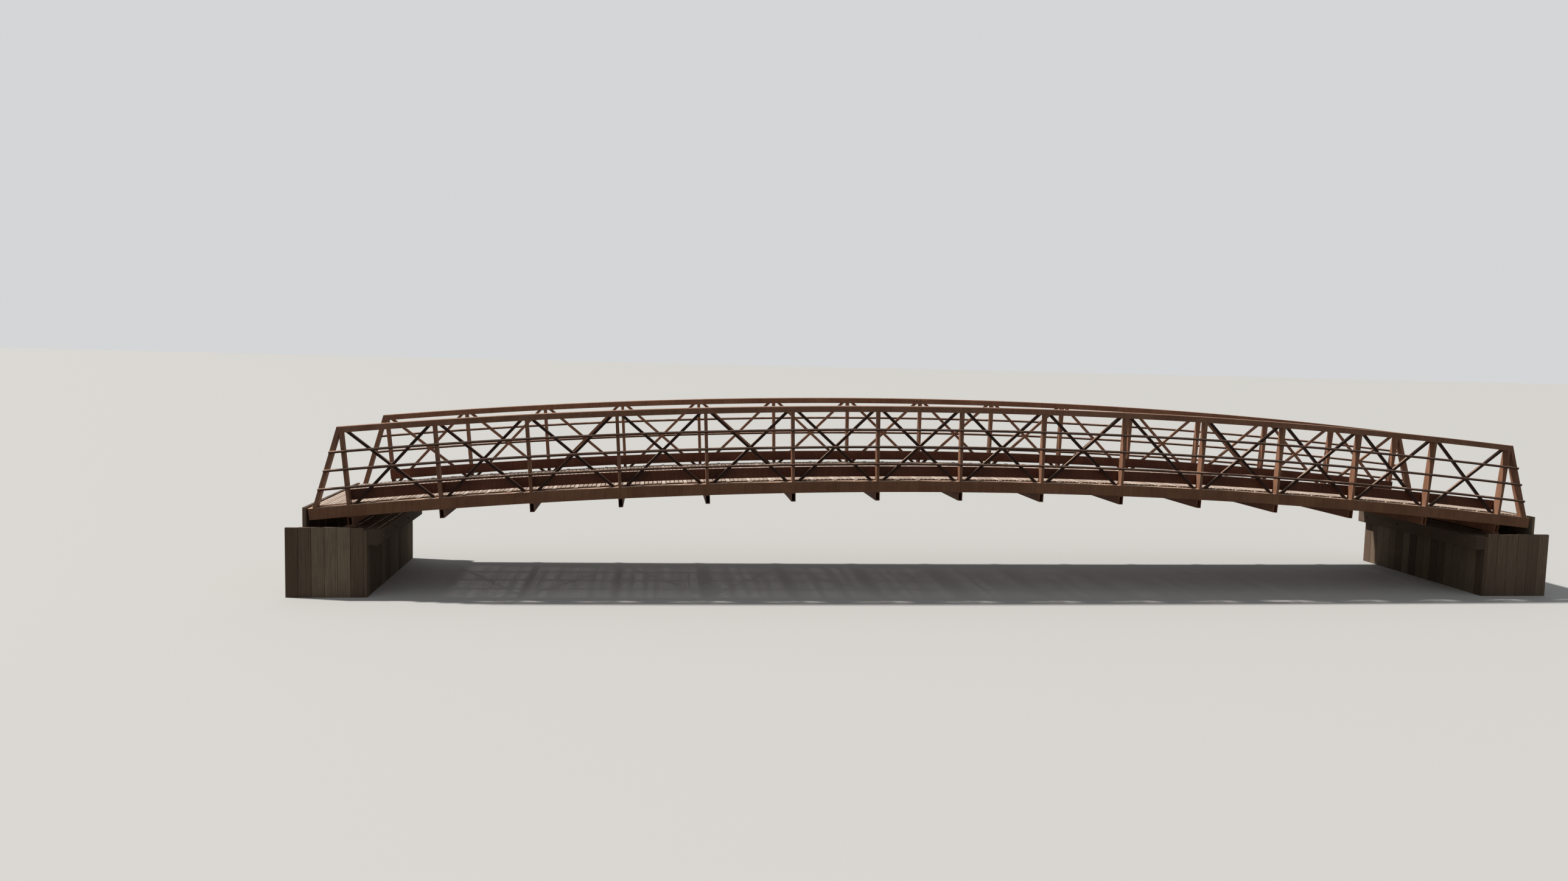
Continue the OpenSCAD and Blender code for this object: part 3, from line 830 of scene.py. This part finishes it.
# Abutment walls: upright planks side by side, spiked to the beams, some newer and redder
# than others. The wing walls flank the ends of the bridge, and the back wall closes them behind.
wall_wood = weathered_wood(
    "wall_wood",
    shades=((0.0, (0.085, 0.050, 0.032)), (0.35, (0.150, 0.098, 0.062)),
            (0.7, (0.240, 0.178, 0.118)), (1.0, (0.330, 0.262, 0.180))),
    along=2, grain_depth=0.003, end_grain=(0.110, 0.080, 0.058))
PLANK_W = 0.205
PLANK_GAP = 0.004
PLANK_EDGE = 0.005
PLANK_CUTS = 8
PLANK_THINNER = 0.006
PLANK_BOW = 0.0012
PLANK_WAVES = 1.3
PLANK_NOISE_SPAN = 40
TOP_WEAR_SHARE = (0.2, 1)
WING_TONES = (0.0, 1.0)
WALL_TONES = (0.1, 0.8)


def plank_wall(low, high, top_wear, tones):
    """Upright planks that fill the box from low to high, along its longer level side."""
    size = high - low
    run = 0 if size.x > size.y else 1
    thick = 1 - run
    count = max(1, round(size[run] / PLANK_W))
    pitch = size[run] / count
    planks = []
    for i in range(count):
        plank_size = Vector((0, 0, size.z - wearing.uniform(*TOP_WEAR_SHARE) * top_wear))
        plank_size[run] = pitch - PLANK_GAP
        plank_size[thick] = size[thick] - wearing.uniform(0, PLANK_THINNER)
        plank = sawn_timber("plank", tuple(plank_size), PLANK_EDGE, PLANK_CUTS)
        centre = Vector((0, 0, low.z + plank_size.z / 2))
        centre[run] = low[run] + (i + 0.5) * pitch
        centre[thick] = (low[thick] + high[thick]) / 2
        seed = wearing.uniform(0, PLANK_NOISE_SPAN)
        for vertex in plank.data.vertices:
            wave = noise.noise_vector(Vector((seed, 0, vertex.co.z * PLANK_WAVES)))
            vertex.co[run] += PLANK_BOW * wave.x
            vertex.co[thick] += PLANK_BOW * wave.y
        plank.data.transform(Matrix.Translation(centre))
        set_tone(plank.data, wearing.uniform(*tones))
        planks.append(plank)
    return planks


for end in ("left", "right"):
    for part, top_wear in (("front_wall", 0.004), ("wing_walls", 0.022), ("back_wall", 0.0)):
        node = f"{end}_{part}"
        low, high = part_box(node)
        if part == "wing_walls":
            back_low, back_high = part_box(f"{end}_back_wall")
            wall_t = back_high.x - back_low.x
            planks = plank_wall(low, Vector((high.x, low.y + wall_t, high.z)), top_wear, WING_TONES)
            planks += plank_wall(Vector((low.x, high.y - wall_t, low.z)), high, top_wear, WING_TONES)
        else:
            planks = plank_wall(low, high, top_wear, WALL_TONES)
        wall = join_pieces(planks, f"{node}_planks")
        wall.data.materials.append(wall_wood)
        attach(wall, "root")
        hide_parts(node)

# Waling bolts: four steel bolts with nuts and washers, as rusty as the bearings, go through each
# waling and tie it to the wall behind.
WALING_BOLTS = (-1.5, -0.5, 0.5, 1.5)
for end, way in (("left", 1), ("right", -1)):
    low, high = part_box(f"{end}_waling")
    face_x = high.x if way > 0 else low.x
    places = [
        Matrix.Translation((face_x, y, (low.z + high.z) / 2)) @ Matrix.Rotation(way * math.pi / 2, 4, "Y")
        for y in WALING_BOLTS
    ]
    ties = place_copies(anchor, places, f"{end}_waling_bolts")
    ties.data.materials.append(bearing_paint)
    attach(ties, "root")

# Splice bolts: eight small bolts with nuts, in the paint of the truss, on each plate that joins
# the halves of a top chord. Four hold each half, on the side of the walkway.
SPLICE_T = 0.008
SPLICE_BOLT_SCALE = 0.75
SPLICE_COLUMNS = (-0.115, -0.050, 0.050, 0.115)
SPLICE_ROWS = (-0.021, 0.021)
splice_low, splice_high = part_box("splice_plates")
splice_z = (splice_low.z + splice_high.z) / 2
splice_y = inner_y - SPLICE_T
splice_places = [
    Matrix.Translation((x, side * splice_y, splice_z + z))
    @ Matrix.Rotation(side * math.pi / 2, 4, "X")
    @ Matrix.Scale(SPLICE_BOLT_SCALE, 4)
    for side in (-1, 1) for x in SPLICE_COLUMNS for z in SPLICE_ROWS
]
splice_bolts = place_copies(anchor, splice_places, "splice_bolts")
splice_bolts.data.materials.append(truss_paint)
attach(splice_bolts, "root")
bpy.data.objects.remove(anchor)

# Piles: peeled round logs with cracks down their length. They are driven in a row under each
# cap beam and carry it.
pile_wood = weathered_wood(
    "pile_wood",
    shades=((0.0, (0.120, 0.082, 0.055)), (1.0, (0.205, 0.150, 0.105))),
    along=2, grain_depth=0.005, end_grain=(0.090, 0.062, 0.044))
PILE_COUNT = 4
PILE_SIDES = 28
PILE_RINGS = 9
PILE_PEEL = 0.03
PILE_NOISE_SPAN = 60
KNOBS_ROUND = 9
KNOBS_ALONG = 1.6
for end in ("left", "right"):
    low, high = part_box(f"{end}_piles")
    pile_r = (high.x - low.x) / 2
    pile_h = high.z - low.z
    row = high.y - low.y - 2 * pile_r
    logs = []
    for i in range(PILE_COUNT):
        clear_selection()
        bpy.ops.mesh.primitive_cylinder_add(vertices=PILE_SIDES, radius=pile_r, depth=pile_h)
        log = bpy.context.object
        bpy.ops.object.mode_set(mode="EDIT")
        for ring in range(1, PILE_RINGS):
            bpy.ops.mesh.select_all(action="SELECT")
            bpy.ops.mesh.bisect(plane_co=(0, 0, pile_h * (ring / PILE_RINGS - 0.5)), plane_no=(0, 0, 1))
        bpy.ops.object.mode_set(mode="OBJECT")
        seed = wearing.uniform(0, PILE_NOISE_SPAN)
        for vertex in log.data.vertices:
            outward = Vector((vertex.co.x, vertex.co.y, 0))
            knobs = noise.noise(outward * KNOBS_ROUND + Vector((0, 0, vertex.co.z * KNOBS_ALONG + seed)))
            vertex.co -= outward * PILE_PEEL * (1 + knobs)
        bpy.ops.object.shade_smooth_by_angle(angle=math.radians(50))
        pile_y = low.y + pile_r + i * row / (PILE_COUNT - 1)
        log.data.transform(Matrix.Translation(((low.x + high.x) / 2, pile_y, (low.z + high.z) / 2)))
        set_tone(log.data, wearing.uniform(0, 1))
        logs.append(log)
    piles = join_pieces(logs, f"{end}_logs")
    piles.data.materials.append(pile_wood)
    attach(piles, "root")
    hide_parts(f"{end}_piles")
